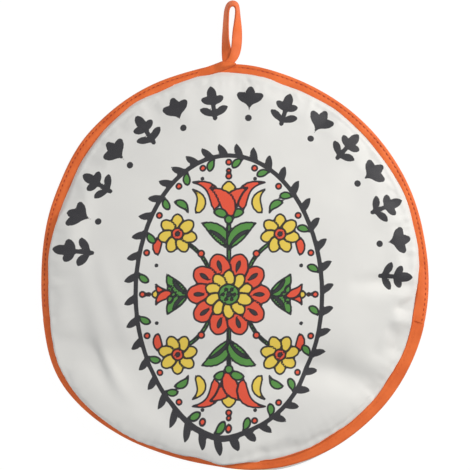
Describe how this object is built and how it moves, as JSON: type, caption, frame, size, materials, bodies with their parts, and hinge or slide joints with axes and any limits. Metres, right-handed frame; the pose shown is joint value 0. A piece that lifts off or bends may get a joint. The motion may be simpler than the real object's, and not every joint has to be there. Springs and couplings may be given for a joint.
{
  "type": "tortilla warmer",
  "caption": "Round padded cloth pouch for keeping tortillas warm, with a bound rim, a mouth along the lower edge that opens as a flap, and a hanging loop.",
  "frame": {"origin": "on the flat face of the back cover that the pouch lies on, at the middle of the round", "axes": "+Z out of the front panel, +Y towards the hanging loop, +X to the right as seen from the front"},
  "size_m": [0.3026, 0.3664, 0.0177],
  "materials": {
    "cover_cloth": "white brushed polyester with a printed front",
    "batting": "soft white polyester wadding",
    "lining_cloth": "plain smooth inner cloth",
    "binding_tape": "orange folded bias tape with a slight sheen",
    "thread": "dark orange sewing thread"
  },
  "bodies": {
    "pouch": {"back_cover": "cover_cloth", "back_batting": "batting", "back_lining": "lining_cloth", "back_mouth_binding": "binding_tape", "back_mouth_stitching": "thread", "front_cover_upper": "cover_cloth", "front_batting_upper": "batting", "front_lining_upper": "lining_cloth", "edge_binding": "binding_tape", "edge_stitching": "thread", "loop_foot": "binding_tape"},
    "front_flap": {"front_cover_flap": "cover_cloth", "front_batting_flap": "batting", "front_lining_flap": "lining_cloth", "front_mouth_binding": "binding_tape", "front_mouth_stitching": "thread"},
    "loop": {"hanging_loop": "binding_tape"}
  },
  "joints": [
    {"name": "mouth_flap", "type": "hinge", "parent": "pouch", "child": "front_flap", "pos_m": [0, -0.0324, 0.018], "axis": [-1, 0, 0], "range_deg": [0, 150]},
    {"name": "loop_swing", "type": "hinge", "parent": "pouch", "child": "loop", "pos_m": [-0.0042, 0.16037, 0.0022], "axis": [1, 0, 0], "range_deg": [-100, 100]}
  ]
}
